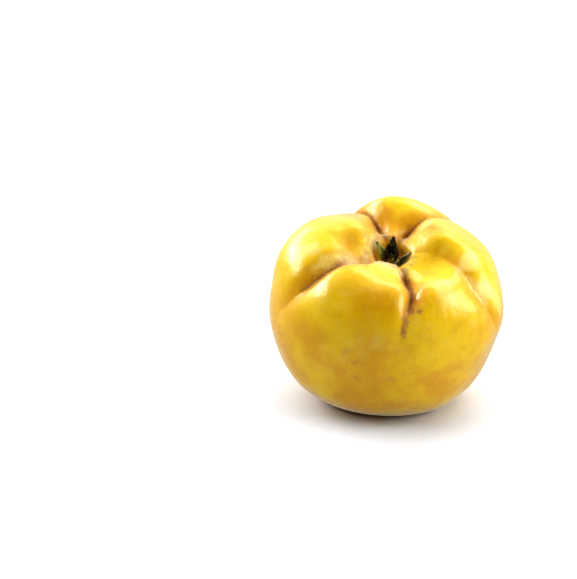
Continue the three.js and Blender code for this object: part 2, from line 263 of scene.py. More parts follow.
def on_skin(along, azimuth):
    """Points of the skin in the fruit's own frame."""
    point, tangent = on_curve(OUTLINE, along)
    depth = crease_depth(along, azimuth, point[:, 0])
    radius = point[:, 0] - tangent[:, 1] * depth
    height = point[:, 1] + tangent[:, 0] * depth
    off_axis = smoothstep(point[:, 0], 0, NO_BANK_RADIUS)
    for place, middle, out, up, reach in SWELLINGS:
        share = spot_share(point, azimuth, place, middle, *reach)
        radius = radius + out * share * off_axis
        height = height + up * share
    rib = np.cos(np.radians(STALK_RIBS["count"] * (azimuth - STALK_RIBS["azimuth"])))
    rib_share = np.exp(-(((along - STALK_RIBS["along"]) / STALK_RIBS["reach"]) ** 2))
    height = height + STALK_RIBS["height"] * rib * rib_share * smoothstep(along, 0, 0.08)
    return around(np.maximum(radius, 0), np.radians(azimuth), height)


def stand(points):
    """From the fruit's own frame to where it stands: the axis is upright at the foot and
    leans more and more towards the crown."""
    x, y, z = points.T
    bend = smoothstep(z, BEND_START, BEND_END)
    lean = np.radians(CROWN_LEAN) * bend
    y, z = y * np.cos(lean) - z * np.sin(lean), y * np.sin(lean) + z * np.cos(lean)
    roll = np.radians(CROWN_ROLL) * bend
    x, z = x * np.cos(roll) + z * np.sin(roll), z * np.cos(roll) - x * np.sin(roll)
    return np.stack([x, y, z + MIDDLE_HEIGHT], axis=1)


def meridian(even, along):
    """Azimuths of the meridians, which bend to follow the lobes' creases and crowd towards
    them. An even meridian otherwise keeps its share of the way between two creases."""
    paths = [crease["stations"] for crease in LOBE_CREASES.values()]
    middles = np.array([np.mean([station[1] for station in path]) for path in paths])
    order = np.argsort(middles)
    step = 360 / SKIN_SEGMENTS
    evens = np.round(middles[order] / step) * step
    azimuths = np.array([on_path(paths[k], along, 1) for k in order])
    here = np.searchsorted(evens, even + step / 2) - 1
    following = (here + 1) % len(paths)
    row = np.arange(len(even))
    start, end = azimuths[here, row], azimuths[following, row]
    share = np.mod(even - evens[here], 360) / np.mod(evens[following] - evens[here], 360)
    crowded = share - SKIN_CROWDING * np.sin(2 * np.pi * share) / (2 * np.pi)
    return start + np.mod(end - start, 360) * crowded


def placement():
    """How far the standing fruit is moved sideways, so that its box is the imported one's."""
    ring = np.linspace(0, 360, 361)
    places = np.linspace(0.2, 0.9, 141)
    along, azimuth = (grid.ravel() for grid in np.meshgrid(places, ring))
    points = stand(on_skin(along, azimuth))
    middle = (points.min(axis=0) + points.max(axis=0)) / 2
    low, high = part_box("quince_body")
    packed = np.array((low + high) / 2) / MM
    return np.array([packed[0] - middle[0], packed[1] - middle[1], 0])


SKIN_SEGMENTS = 416
SKIN_RINGS = 236
SKIN_CROWDING = 0.5  # how much narrower the faces beside a crease are than the average
SHIFT = placement()
STREAK_HEIGHT = 0.025  # of the grain along the meridians
PUCKER_HEIGHT = 0.16  # of the wrinkles beside the creases
PUCKER_SIZE = 1.9
PUCKER_WIDTH = 3.2  # how far they reach to each side of a crease
CORK_WIDTH = 1.1


def placed(points):
    """From the fruit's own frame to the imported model's place, still in millimetres."""
    return stand(points) + SHIFT


# ---- settings ----


def colour(name, description, default):
    return bpy.props.FloatVectorProperty(
        name=name, description=description, default=default, subtype="COLOR", size=3, min=0, max=1
    )


def length(name, description, default_mm):
    return bpy.props.FloatProperty(
        name=name, description=description, default=default_mm * MM, unit="LENGTH", min=0
    )


def share(name, description, default, high=1.0):
    return bpy.props.FloatProperty(
        name=name, description=description, default=default, subtype="FACTOR", min=0, max=high
    )


class QuinceSkinSettings(bpy.types.PropertyGroup):
    # Lemon: a paler skin tone, used in random mottle, and laid on the crests and the top of the
    # fruit as painted light
    lemon: colour("Lemon", "Skin on the crests of the lobes", (0.76, 0.52, 0.004))
    golden: colour("Golden", "Skin of the lobes' sides", (0.66, 0.35, 0.002))
    # Deep: a darker skin tone, used in random streaks and clouds, and laid in the hollows, the deep
    # creases, the basin and on the front as painted shade
    deep: colour("Deep", "Skin in the hollows, where it is ripest", (0.58, 0.29, 0.0015))
    # A pale bloom, laid on the crests and where the lights' highlights fall: partly real bloom,
    # partly a painted sheen
    haze_and_sheen: colour("Haze", "Thin dusty bloom on the crests", (0.86, 0.68, 0.21))
    # Brown cork at the bottoms of the creases and in the basin, darkened further as painted shade
    crack_and_shade: colour("Crack", "Skin at the bottom of the creases", (0.29, 0.12, 0.018))
    russet: colour("Russet", "Corky skin in and below the creases", (0.38, 0.18, 0.07))
    bloom: colour("Bloom", "Thin film of matted down", (0.86, 0.71, 0.40))
    roughness: share("Roughness", "Roughness of the waxy skin", 0.46)
    wax: share("Wax", "Weight of the wax over the skin", 1.0)
    sheen: share("Sheen", "Weight of the dusty sheen over the skin", 0.3)
    swell: length("Swell", "Height of the broad unevenness of the lobes", 0.35)
    dimples: length("Dimples", "Height of the small unevenness of the lobes", 0.09)


class QuinceDownSettings(bpy.types.PropertyGroup):
    tufts: bpy.props.IntProperty(name="Tufts", description="Tufts of down", default=1900, min=1)
    hairs: bpy.props.IntProperty(name="Hairs", description="Hairs in a tuft", default=9, min=1)
    hair_length: length("Hair length", "Length of the longest hairs", 0.95)
    hair_width: length("Hair width", "Thickness of a hair", 0.06)
    tan: colour("Tan", "Down in the creases", (0.68, 0.43, 0.2))
    pale: colour("Pale", "Down on the rim of the basin", (0.93, 0.82, 0.62))


class QuinceCalyxSettings(bpy.types.PropertyGroup):
    thickness: length("Thickness", "Thickness of a sepal", 0.6)
    dark: colour("Dark", "Withered parts of the sepals", (0.05, 0.042, 0.014))
    green: colour("Green", "Parts of the sepals that are still green", (0.42, 0.45, 0.12))
    brown: colour("Brown", "Dry brown edges", (0.13, 0.055, 0.014))
    silver: colour("Silver", "Edges with silvery down", (0.50, 0.47, 0.36))
    stamen: colour("Stamen", "Dry stamens", (0.05, 0.035, 0.012))
    felt: colour("Felt", "Felt of the cushion", (0.20, 0.13, 0.05))


class QuinceStalkSettings(bpy.types.PropertyGroup):
    bark: colour("Bark", "Bark of the stalk", (0.14, 0.085, 0.038))
    wood: colour("Wood", "Dry wood at the scar and in the fissures", (0.33, 0.23, 0.12))
    fissures: length("Fissures", "Depth of the fissures", 0.16)


class QuinceStudioSettings(bpy.types.PropertyGroup):
    floor: colour("Floor", "Floor and surroundings", (0.76, 0.79, 0.86))
    ambient: share("Ambient", "Strength of the light of the surroundings", 1.0, high=4.0)


SETTINGS = {
    "quince_skin": QuinceSkinSettings,
    "quince_down": QuinceDownSettings,
    "quince_calyx": QuinceCalyxSettings,
    "quince_stalk": QuinceStalkSettings,
    "quince_studio": QuinceStudioSettings,
}


# ---- materials ----


class Shader:
    """The node tree of a new material or world, with short ways to add and link nodes."""

    def __init__(self, name, made_in=bpy.data.materials, surface="Principled BSDF"):
        self.made = made_in.new(name)
        self.made.use_nodes = True
        self.tree = self.made.node_tree
        self.surface = self.tree.nodes[surface]

    def node(self, kind, output=0, inputs=None, **settings):
        made = self.tree.nodes.new(kind)
        for name, value in settings.items():
            setattr(made, name, value)
        for socket, value in (inputs or {}).items():
            self.feed(made.inputs[socket], value)
        return made.outputs[output]

    def feed(self, socket, value):
        if isinstance(value, bpy.types.NodeSocket):
            self.tree.links.new(value, socket)
        else:
            socket.default_value = value

    def set(self, **values):
        """Feeds the surface's sockets, named with underlines for blanks."""
        for name, value in values.items():
            self.feed(self.surface.inputs[name.replace("_", " ")], value)

    def math(self, operation, *values, clamp=False):
        inputs = dict(enumerate(values))
        return self.node("ShaderNodeMath", inputs=inputs, operation=operation, use_clamp=clamp)

    def span(self, value, low, high, to_low=0.0, to_high=1.0):
        inputs = {"Value": value, 1: low, 2: high, 3: to_low, 4: to_high}
        return self.node("ShaderNodeMapRange", inputs=inputs, interpolation_type="SMOOTHSTEP")

    def mix(self, factor, first, second):
        inputs = {0: factor, 6: opaque(first), 7: opaque(second)}
        return self.node("ShaderNodeMix", output=2, inputs=inputs, data_type="RGBA")

    def noise(self, place, scale, detail=2.0, roughness=0.5):
        inputs = {"Vector": place, "Scale": scale, "Detail": detail, "Roughness": roughness}
        return self.node("ShaderNodeTexNoise", inputs=inputs)

    def uneven(self, value, noise, height, clamp=False):
        """A value that a noise raises and lowers by up to that height."""
        return self.math("ADD", value, self.span(noise, 0.3, 0.7, -height, height), clamp=clamp)

    def tint(self, tone, share, amount, colour):
        return self.mix(self.math("MULTIPLY", share, amount), tone, colour)

    def place(self):
        return self.node("ShaderNodeTexCoord", output="Object")

    def attribute(self, name, output="Fac"):
        return self.node("ShaderNodeAttribute", output=output, attribute_name=name)

    def bump(self, height, distance, strength=1.0, under=None):
        inputs = {"Height": height, "Distance": distance, "Strength": strength}
        if under is not None:
            inputs["Normal"] = under
        return self.node("ShaderNodeBump", inputs=inputs)


def opaque(value):
    return value if isinstance(value, bpy.types.NodeSocket) else (*value[:3], 1.0)


# The noises of the skin, from broad to fine: size as features in a metre, levels of
# detail, and how strongly the finer levels count.
SKIN_NOISES = {
    "patches": (60, 4, 0.55),
    "hazes": (95, 5, 0.65),
    "clouds": (170, 5, 0.6),
    "mottle": (420, 3, 0.6),
    "fine": (1500, 3, 0.6),
}
PORES = {"scale": 300.0, "groups": 170, "share": 0.45}
# Heights of the fine relief, in metres, and how strongly it counts.
SKIN_RELIEF = {"streaks": (0.0004, 0.12), "mottle": (0.0003, 0.55), "fine": 0.00012}
FINE_RELIEF = (0.12, 0.8)  # how strongly the finest counts where the skin is waxy and dull
SKIN_SURFACE = {
    "IOR": 1.45,
    "Specular_IOR_Level": 0.25,
    "Specular_Tint": (1.0, 0.8, 0.35, 1.0),
    "Coat_Roughness": 0.24,
    "Coat_IOR": 1.48,
    "Sheen_Roughness": 0.45,
    "Sheen_Tint": (1.0, 0.9, 0.68, 1.0),
    "Subsurface_Weight": 0.12,
    "Subsurface_Radius": (1.0, 0.55, 0.1),
    "Subsurface_Scale": 0.002,
}


def skin_material(settings):
    shader = Shader("quince_skin")
    place, grain = shader.place(), shader.attribute("grain", "Vector")
    crease, lit_crest = shader.attribute("crease"), shader.attribute("lit_crest")
    marks = [shader.attribute(name) for name in ("painted_shade", "russet", "bloom", "bruise", "dust_and_sheen")]
    painted_shade, russet, bloom, bruise, dust_and_sheen = marks

    noises = [shader.noise(place, *noise) for noise in SKIN_NOISES.values()]
    patches, hazes, clouds, mottle, fine = noises
    streaks = shader.noise(grain, 1, detail=4, roughness=0.6)

    # golden skin; painted light and shade: lemon on the crests and on the top of the fruit, where
    # the light falls, and the deep tone in the hollows, the creases, the basin and on the front,
    # where shade falls; unevenly ripe
    patchy = shader.uneven(lit_crest, patches, 0.38)
    tone = shader.mix(shader.span(patchy, 0.1, 0.9), settings.golden, settings.lemon)
    # painted shade: the deep tone in the hollows, the deep creases, the basin and on the front
    tone = shader.tint(tone, painted_shade, 0.85, settings.deep)
    for flecks, *reach, colour in (
        (streaks, 0.48, 0.75, 0, 0.16, settings.deep),
        (mottle, 0.5, 0.75, 0, 0.35, settings.lemon),
        (fine, 0.45, 0.7, 0, 0.3, settings.golden),
        (clouds, 0.48, 0.7, 0, 0.35, settings.deep),
    ):
        tone = shader.mix(shader.span(flecks, *reach), tone, colour)

    # a thin uneven bloom that makes the skin paler and duller here and there; partly real bloom and
    # partly a painted sheen, as it lies on the crests and where the lights' highlights fall
    haze_and_sheen = shader.math("MULTIPLY", shader.span(hazes, 0.48, 0.72, 0, 0.3), lit_crest)
    dusty = shader.uneven(dust_and_sheen, clouds, 0.3)
    dusty = shader.math("MULTIPLY", shader.span(dusty, 0.1, 0.9, 0, 0.75), shader.span(dust_and_sheen, 0, 0.4))
    haze_and_sheen = shader.math("MAXIMUM", haze_and_sheen, dusty)
    tone = shader.mix(haze_and_sheen, tone, settings.haze_and_sheen)

    # sparse pale pores
    cells = {"Vector": place, "Scale": PORES["scale"], "Randomness": 1.0}
    pores = shader.node("ShaderNodeTexVoronoi", inputs=cells)
    chosen = shader.span(shader.noise(place, PORES["groups"], detail=1), 0.55, 0.62)
    pore = shader.math("MULTIPLY", shader.span(pores, 0.06, 0.14, 1, 0), chosen)
    tone = shader.tint(tone, pore, PORES["share"], settings.bloom)

    # grey-brown bruises, corky russet and the film of matted down
    blotch = shader.math("MULTIPLY", bruise, shader.span(mottle, 0.35, 0.65))
    tone = shader.tint(tone, blotch, 0.55, settings.russet)
    cork = shader.uneven(russet, fine, 0.35)
    cork = shader.math("MULTIPLY", shader.span(cork, 0.05, 0.75), shader.span(russet, 0, 0.25))
    tone = shader.tint(tone, cork, 0.85, settings.russet)
    # painted shade mixed with brown cork: the colour of the cracks darkens the creases' bottoms and
    # the basin
    tone = shader.mix(shader.span(crease, 0.35, 1.0, 0, 0.8), tone, settings.crack_and_shade)
    film = shader.uneven(bloom, fine, 0.3)
    film = shader.math("MULTIPLY", shader.span(film, 0.2, 0.9), shader.span(bloom, 0, 0.25))
    tone = shader.tint(tone, film, 0.6, settings.bloom)

    # down, cork and cracks are dull, and the waxy skin between them shines
    dull = shader.math("MAXIMUM", shader.math("MAXIMUM", film, cork), crease)
    sheen = shader.span(patches, 0.3, 0.7, settings.roughness - 0.05, settings.roughness + 0.06)
    rough = shader.math("ADD", sheen, shader.math("MULTIPLY", dull, 0.5))
    relief = shader.bump(streaks, *SKIN_RELIEF["streaks"])
    relief = shader.bump(mottle, *SKIN_RELIEF["mottle"], relief)
    relief = shader.bump(fine, SKIN_RELIEF["fine"], shader.span(dull, 0, 1, *FINE_RELIEF), relief)
    shader.set(
        Base_Color=tone,
        Roughness=rough,
        Coat_Weight=shader.span(dull, 0, 0.6, settings.wax, 0.0),
        Sheen_Weight=settings.sheen,
        Normal=relief,
        Coat_Normal=relief,
        **SKIN_SURFACE,
    )
    return shader.made


def sepal_material(name, number, root_green, tip_green, edge, settings):
    shader = Shader(name)
    place = shader.place()
    along, side = shader.attribute("along"), shader.attribute("side")
    fibre_place = shader.node(
        "ShaderNodeCombineXYZ",
        inputs={0: shader.math("MULTIPLY", side, 6.0), 1: along, 2: 3.7 * number},
    )
    fibres = shader.noise(fibre_place, 2, detail=4, roughness=0.6)
    blotches = shader.noise(place, 700, detail=3, roughness=0.6)
    specks = shader.noise(place, 2600, detail=2)

    green = shader.span(along, 0.1, 0.95, root_green, tip_green)
    green = shader.uneven(green, blotches, 0.16, clamp=True)
    tone = shader.mix(green, settings.dark, settings.green)
    tone = shader.mix(shader.span(fibres, 0.5, 0.75, 0, 0.6), tone, settings.dark)
    rim = shader.uneven(shader.math("ABSOLUTE", side), fibres, 0.2)
    tone = shader.mix(shader.span(rim, 0.75, 1.05, 0, 0.85), tone, getattr(settings, edge))
    tip = shader.uneven(along, blotches, 0.06)
    tone = shader.mix(shader.span(tip, 0.86, 0.97, 0, 0.85), tone, settings.dark)
    flecks = shader.math("ADD", specks, shader.span(blotches, 0.45, 0.7, -0.12, 0.1))
    tone = shader.mix(shader.span(flecks, 0.56, 0.62, 0, 0.6), tone, settings.silver)
    tone = shader.mix(shader.span(shader.attribute("scar"), 0.35, 0.6), tone, settings.silver)
    relief = shader.bump(fibres, 0.0005, 0.6)
    relief = shader.bump(specks, 0.0001, 0.5, relief)
    rough = shader.span(blotches, 0.3, 0.7, 0.55, 0.8)
    shader.set(Base_Color=tone, Roughness=rough, Normal=relief)
    return shader.made


def dry_material(name, dark, pale, size, stretch=1.0, relief=0.0002):
    """Dry plant matter: mottled from dark to pale, with a grain drawn out upwards."""
    shader = Shader(name)
    place = shader.node(
        "ShaderNodeMapping", inputs={"Vector": shader.place(), "Scale": (1, 1, 1 / stretch)}
    )
    grain = shader.noise(place, 1 / size, detail=4, roughness=0.65)
    fine = shader.noise(place, 5 / size, detail=2)
    share = shader.uneven(shader.span(grain, 0.3, 0.72), fine, 0.2)
    under = shader.bump(grain, relief, 0.8)
    shader.set(
        Base_Color=shader.mix(shader.math("MAXIMUM", share, 0.0), dark, pale),
        Roughness=shader.span(grain, 0.3, 0.7, 0.75, 0.95),
        Normal=shader.bump(fine, relief / 3, 0.6, under),
    )
    return shader.made


def down_material(settings):
    shader = Shader("down")
    paleness = shader.attribute("paleness")
    mottle = shader.noise(shader.place(), 900, detail=2)
    share = shader.uneven(paleness, mottle, 0.25, clamp=True)
    tone = shader.mix(share, settings.tan, settings.pale)
    shader.set(Base_Color=tone, Roughness=shader.span(mottle, 0.3, 0.7, 0.7, 0.9))
    return shader.made


def floor_material(tint):
    shader = Shader("pale_floor")
    shader.set(Base_Color=opaque(tint), Roughness=0.6)
    return shader.made


# ---- modelling ----


def deselect_all():
    if bpy.context.object and bpy.context.object.mode != "OBJECT":
        bpy.ops.object.mode_set(mode="OBJECT")
    for item in bpy.context.selected_objects:
        item.select_set(False)
    bpy.context.view_layer.objects.active = None


def coordinates(mesh):
    points = np.empty(len(mesh.vertices) * 3)
    mesh.vertices.foreach_get("co", points)
    return points.reshape(-1, 3)


def set_coordinates(mesh, points_mm):
    mesh.vertices.foreach_set("co", (points_mm * MM).ravel())
    mesh.update()


def normals(mesh):
    directions = np.empty(len(mesh.vertices) * 3, np.float32)
    mesh.vertex_normals.foreach_get("vector", directions)
    return directions.reshape(-1, 3).astype(float)


def set_attribute(mesh, name, values):
    attribute = mesh.attributes.new(name, "FLOAT", "POINT")
    attribute.data.foreach_set("value", np.asarray(values, np.float32))


def sheet(name, columns, rows):
    """A flat sheet, with the shares of the way across and up it at each of its vertices."""
    deselect_all()
    bpy.ops.mesh.primitive_grid_add(x_subdivisions=columns, y_subdivisions=rows, size=2)
    piece = bpy.context.object
    piece.name = name
    piece.data.name = name
    x, y, _ = coordinates(piece.data).T
    return piece, np.round((x + 1) / 2 * columns) / columns, np.round((y + 1) / 2 * rows) / rows


def ball(name, segments, rings):
    """A ball rolled up from a sheet, with the share of the way round and of the way up at
    each of its vertices."""
    piece, round_, up = sheet(name, segments, rings)
    turn, rise = 2 * np.pi * round_, np.pi * up
    ring = np.where((up == 0) | (up == 1), 0, np.sin(rise))
    points = around(ring, turn, -np.cos(rise))
    set_coordinates(piece.data, points / MM)
    bpy.ops.object.mode_set(mode="EDIT")
    bpy.ops.mesh.select_all(action="SELECT")
    bpy.ops.mesh.remove_doubles(threshold=MERGE_DISTANCE)
    bpy.ops.object.mode_set(mode="OBJECT")
    x, y, z = coordinates(piece.data).T
    up = np.round(np.arccos(np.clip(-z, -1, 1)) / np.pi * rings) / rings
    pole = (up == 0) | (up == 1)
    place = np.round(np.mod(np.arctan2(y, x) / (2 * np.pi), 1) * segments)
    return piece, np.where(pole, 0, np.mod(place, segments)) / segments, up


def finish_piece(piece, material, slot, *nodes):
    piece.data.materials.clear()
    piece.data.materials.append(material)
    deselect_all()
    piece.select_set(True)
    bpy.context.view_layer.objects.active = piece
    bpy.ops.object.shade_smooth()
    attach(piece, "root")
    if nodes:
        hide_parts(*nodes)


def noise_at(points, size, seed=0.0):
    """Smooth noise of about -1 to 1 with features of that size."""
    offset = Vector((seed, -seed, 2 * seed))
    return np.array([noise.noise(Vector(point) / size + offset) for point in points])


def ring_place(up):
    """The way along the outline of each ring: they stand closer together on the crown."""
    return np.interp(up, (0, 0.35, 1), (0, 0.52, 1))


def crease_share(along, azimuth, radius, width, lining="down"):
    """How near each point is to the bottom of a lobe's crease, where that is deep and lined."""
    shares = np.zeros(len(along))
    for crease in LOBE_CREASES.values():
        arc = arc_from(azimuth, on_path(crease["stations"], along, 1), radius)
        deep = smoothstep(on_path(crease["stations"], along, 2), 0.8, 4.5)
        shares = np.maximum(shares, crease[lining] * deep * np.exp(-((arc / width) ** 2)))
    return shares


# Corky streaks that go on from a crease, bruises, films of matted down, washes of a thin dusty
# bloom, which are also a painted sheen where the lights' highlights fall, and spots of painted shade
# in the
# hollows and on the front: way along the outline, azimuth, and how far each reaches along and round,
# in millimetres.
RUSSET = (
    (0.6, 279.5, 2.2, 1.2), (0.577, 275.5, 3.6, 1.3), (0.553, 274.4, 2.6, 1.1),
    (0.592, 284.2, 1.2, 1.1), (0.7, 214, 9, 2.2), (0.75, 288.5, 7, 1.2),
)
BRUISES = (
    (0.494, 247.1, 2.2, 1.6), (0.475, 253.3, 1.8, 2.2), (0.424, 253.7, 1.6, 3),
    (0.433, 270.3, 2.2, 1.8), (0.36, 246, 1.6, 1.6), (0.72, 29.7, 1.6, 1.8),
)
BLOOM = (
    (0.735, 214, 6.5, 4.5), (0.8, 232, 3.5, 9), (0.79, 262, 1.6, 5), (0.80, 290, 1.8, 3),
    (0.84, 150, 4, 6),
)
# Pale dusty washes, which are also a painted sheen placed where the lights' highlights fall
DUST_AND_SHEEN = (
    (0.64, 305, 9, 4.5), (0.76, 303, 5, 2), (0.64, 343, 5, 5), (0.59, 329, 8, 2.6),
    (0.756, 279, 4, 1.8), (0.66, 207, 8, 3), (0.64, 103, 6, 4), (0.59, 222, 4, 3),
    (0.55, 336, 8, 3), (0.625, 190, 8, 4), (0.7, 47, 6, 3),
)
# painted shade: the deep tone in two hollows of the crown and low on the front
PAINTED_SHADE_SPOTS = ((0.747, 186, 4, 7), (0.72, 27, 5, 6), (0.62, 262, 9, 16))
STREAK_SIZE = (1.5, 14)  # of the grain round and along, in millimetres
BELLY_RADIUS = 45
OUTLINE_LENGTH = 135


def spots(along, azimuth, places):
    """How near each point is to the nearest of some places on the skin."""
    point = on_curve(OUTLINE, along)[0]
    shares = np.zeros(len(along))
    for spot in places:
        shares = np.maximum(shares, spot_share(point, azimuth, *spot))
    return shares


def grain_places(along, azimuth):
    """Places for a noise that is drawn out along the meridians and has no seam."""
    rise = OUTLINE_LENGTH / STREAK_SIZE[1] * along
    return around(BELLY_RADIUS / STREAK_SIZE[0], np.radians(azimuth), rise)


class QUINCE_OT_skin(bpy.types.Operator):
    """Models the skin: the lobes, the creases, the basin and the stalk hollow"""

    bl_idname = "quince.skin"
    bl_label = "Skin"

    def execute(self, context):
        settings = context.scene.quince_skin
        piece, round_, up = ball("skin", SKIN_SEGMENTS, SKIN_RINGS)
        along = ring_place(up)
        azimuth = meridian(360 * round_, along)
        points = placed(on_skin(along, azimuth))
        set_coordinates(piece.data, points)
        radius = on_curve(OUTLINE, along)[0][:, 0]
        crease = crease_share(along, azimuth, radius, CORK_WIDTH, "cork")
        depth = crease_depth(along, azimuth, radius)
        grain = grain_places(along, azimuth)
        swell = settings.swell / MM * noise_at(points, 14)
        swell += settings.dimples / MM * noise_at(points, 4.5, 3)
        swell += STREAK_HEIGHT * noise_at(grain, 1, 5)
        beside = crease_share(along, azimuth, radius, PUCKER_WIDTH)
        swell += PUCKER_HEIGHT * beside * noise_at(points, PUCKER_SIZE, 7)
        clear = smoothstep(points[:, 2], 0.5, 5) * smoothstep(radius, 1, 6)
        points = points + normals(piece.data) * (swell * clear)[:, None]
        points[:, 2] = np.maximum(points[:, 2], 0)
        set_coordinates(piece.data, points)
        mesh = piece.data
        # the basin gets the colour of the cracks and the deep tone: painted shade in its recess,
        # with some brown of its own
        basin = smoothstep(along, 0.83, 0.9)
        # painted light: the fruit's top half and the crests away from the creases get the lemon tone
        lit_from_above = 0.3 + 0.7 * smoothstep(along, 0.42, 0.6)
        sets = (PAINTED_SHADE_SPOTS, RUSSET, BRUISES, BLOOM, DUST_AND_SHEEN)
        # the first share marks spots of painted shade, the last marks dusty washes that are also a
        # painted sheen
        ripe, russet, bruise, bloom, dust_and_sheen = (spots(along, azimuth, places) for places in sets)
        looks = {
            "crease": np.maximum(crease, 0.62 * basin),
            "lit_crest": lit_from_above * (1 - smoothstep(depth, 0, 2.5)),
            # painted shade: the deep tone in the deep creases, in the spots of painted shade and in
            # the basin
            "painted_shade": np.maximum(np.maximum(smoothstep(depth, 3.5, 10), ripe), basin),
            "russet": np.maximum(russet, 0.7 * crease),
            "bruise": bruise, "bloom": bloom, "dust_and_sheen": dust_and_sheen,
        }
        for name, values in looks.items():
            set_attribute(mesh, name, values)
        vectors = mesh.attributes.new("grain", "FLOAT_VECTOR", "POINT")
        vectors.data.foreach_set("vector", grain.astype(np.float32).ravel())
        finish_piece(piece, skin_material(settings), "skin", "quince_body")
        return {"FINISHED"}


# The sepals' looks: the share of green at the root and at the tip, and the edge's colour.
SEPAL_LOOKS = {
    "back": (0.1, 0.08, "brown"),
    "left": (1, 0.9, "green"),
    "right": (0.22, 0.32, "silver"),
    "front_left": (0.55, 0.7, "green"),
    "front_right": (0.2, 0.8, "silver"),
}
SEPAL_RAGGED = 0.22  # how far the edges stand in and out, as a share of the half width
SEPAL_FOLDS = 0.22  # height of the lengthwise folds and the cross wrinkles


def turned(points, azimuth):
    """Points turned about the fruit's axis."""
    angle = math.radians(azimuth)
    x, y, z = points.T
    cos, sin = math.cos(angle), math.sin(angle)
    return np.stack([x * cos - y * sin, x * sin + y * cos, z], axis=1)


def apply_modifiers(piece):
    bpy.context.view_layer.objects.active = piece
    for modifier in list(piece.modifiers):
        bpy.ops.object.modifier_apply(modifier=modifier.name)


# Pale scars on a sepal: way along it, side, and how far each reaches along and across.
SEPAL_SCARS = {"back": ((0.6, 0.3, 0.05, 0.16), (0.5, -0.15, 0.035, 0.12))}


def blade_width(along):
    """A sepal's width along its length, as a share of its full width."""
    outline = SEPAL_OUTLINE
    belly = np.sin(np.pi * np.minimum(along / outline["belly"], 1))
    tapered = np.clip((along - outline["taper"]) / (1 - outline["taper"]), 0, 1)
    point = (1 - tapered ** outline["power"]) ** SEPAL_SHARPNESS
    root, tip = outline["root"], outline["tip"]
    return (root + (1 - root) * belly) * (tip + (1 - tip) * point)


def sepal_points(side, along, crumple, azimuth, root, size, width, lean, curl, twist):
    """The middle sheet of a sepal. The side is -1 and 1 at its edges."""
    start, bend, turn = math.radians(lean), math.radians(curl), math.radians(twist)
    tilt = start + bend * along
    radius = root + size * (math.cos(start) - np.cos(tilt)) / bend
    height = SEPAL_ROOT_HEIGHT + size * (np.sin(tilt) - math.sin(start)) / bend
    share = blade_width(along)
    across = side * width / 2 * share
    cup = SEPAL_CUP * side**2 * share + crumple
    sideways = across * math.cos(turn) - cup * math.sin(turn)
    inwards = across * math.sin(turn) + cup * math.cos(turn)
    points = np.stack(
        [radius - inwards * np.cos(tilt), sideways, height + inwards * np.sin(tilt)], axis=1
    )
    return turned(points, azimuth)


def make_sepal(name, number, form, settings):
    columns, rows = SEPAL_FACES
    piece, across, along = sheet("sepal_" + name, columns, rows)
    side = 2 * across - 1
    edge_places = np.stack([side * 0.6, along * 9, 0 * along], axis=1)
    ragged = 1 + SEPAL_RAGGED * noise_at(edge_places, 1, 3 * number)
    fibre_places = np.stack([side * 3, along * 1.4, 0 * along], axis=1)
    crumple = SEPAL_FOLDS * noise_at(fibre_places, 1, 5 * number + 2)
    crumple += SEPAL_FOLDS * noise_at(np.stack([side, along * 5, 0 * along], axis=1), 1, number)
    crumple *= np.minimum(1, 4 * along)
    set_coordinates(piece.data, placed(sepal_points(side * ragged, along, crumple, *form)))
    set_attribute(piece.data, "along", along)
    set_attribute(piece.data, "side", side)
    scars = np.zeros(len(along))
    for place, middle, far_along, far_across in SEPAL_SCARS.get(name, ()):
        far = np.hypot((along - place) / far_along, (side - middle) / far_across)
        scars = np.maximum(scars, np.exp(-(far**2)))
    set_attribute(piece.data, "scar", scars)
    wall = piece.modifiers.new("wall", "SOLIDIFY")
    wall.thickness = settings.thickness
    wall.offset = 0
    smooth = piece.modifiers.new("smooth", "SUBSURF")
    smooth.levels = smooth.render_levels = 1
    apply_modifiers(piece)
    material = sepal_material("sepal_" + name, number, *SEPAL_LOOKS[name], settings)
    finish_piece(piece, material, "calyx", "calyx")


def on_profile(profile, up):
    """Radii and heights at shares of the way through a list of them."""
    steps = np.linspace(0, 1, len(profile))
    return [np.interp(up, steps, values) for values in np.transpose(profile)]


def make_cushion(settings):
    piece, round_, up = ball("calyx_cushion", 48, 24)
    places = np.linspace(1, CUSHION_START, 7)
    under, tangent = on_curve(OUTLINE, places)
    under = under + CLEARANCE * np.stack([-tangent[:, 1], tangent[:, 0]], axis=1) * (-1, -1)
    under[0] = (0, on_curve(OUTLINE, np.array([1.0]))[0][0, 1] + CLEARANCE)
    radius, height = on_profile(np.vstack([under, CUSHION_TOP]), up)
    points = around(np.maximum(radius, 0), 2 * np.pi * round_, height)
    set_coordinates(piece.data, placed(points))
    material = dry_material("felt", settings.stamen, settings.felt, 0.0006)
    finish_piece(piece, material, "calyx", "calyx")


def make_stamen(number, draw):
    """One dry stamen: a bent thread with a shrivelled anther at its end."""
    piece, round_, up = ball(f"stamen_{number}", 10, 16)
    size = draw.uniform(*STAMEN_DRAWS["length"])
    bow = draw.uniform(-1, 1) * STAMEN_DRAWS["bow"]
    splay = math.radians(draw.uniform(*STAMEN_DRAWS["splay"]))
    azimuth = 360 * number / STAMENS["count"] + draw.uniform(-1, 1) * STAMEN_DRAWS["turn"]
    root, tip = STAMENS["thick"]
    thick = root + (tip - root) * up
    thick = thick + STAMENS["anther"] * np.exp(-(((up - 0.9) / 0.07) ** 2))
    thick = thick * np.sqrt(np.clip(1 - (2 * up - 1) ** 14, 0, 1))
    turn = 2 * np.pi * round_
    out = bow * np.sin(np.pi * up) + thick / 2 * np.cos(turn)
    side = thick / 2 * np.sin(turn)
    rise = size * up
    cos, sin = math.cos(splay), math.sin(splay)
    points = np.stack(
        [STAMENS["ring"] + out * cos + rise * sin, side, STAMENS["root"] + rise * cos - out * sin],
        axis=1,
    )
    set_coordinates(piece.data, placed(turned(points, azimuth)))
    return piece


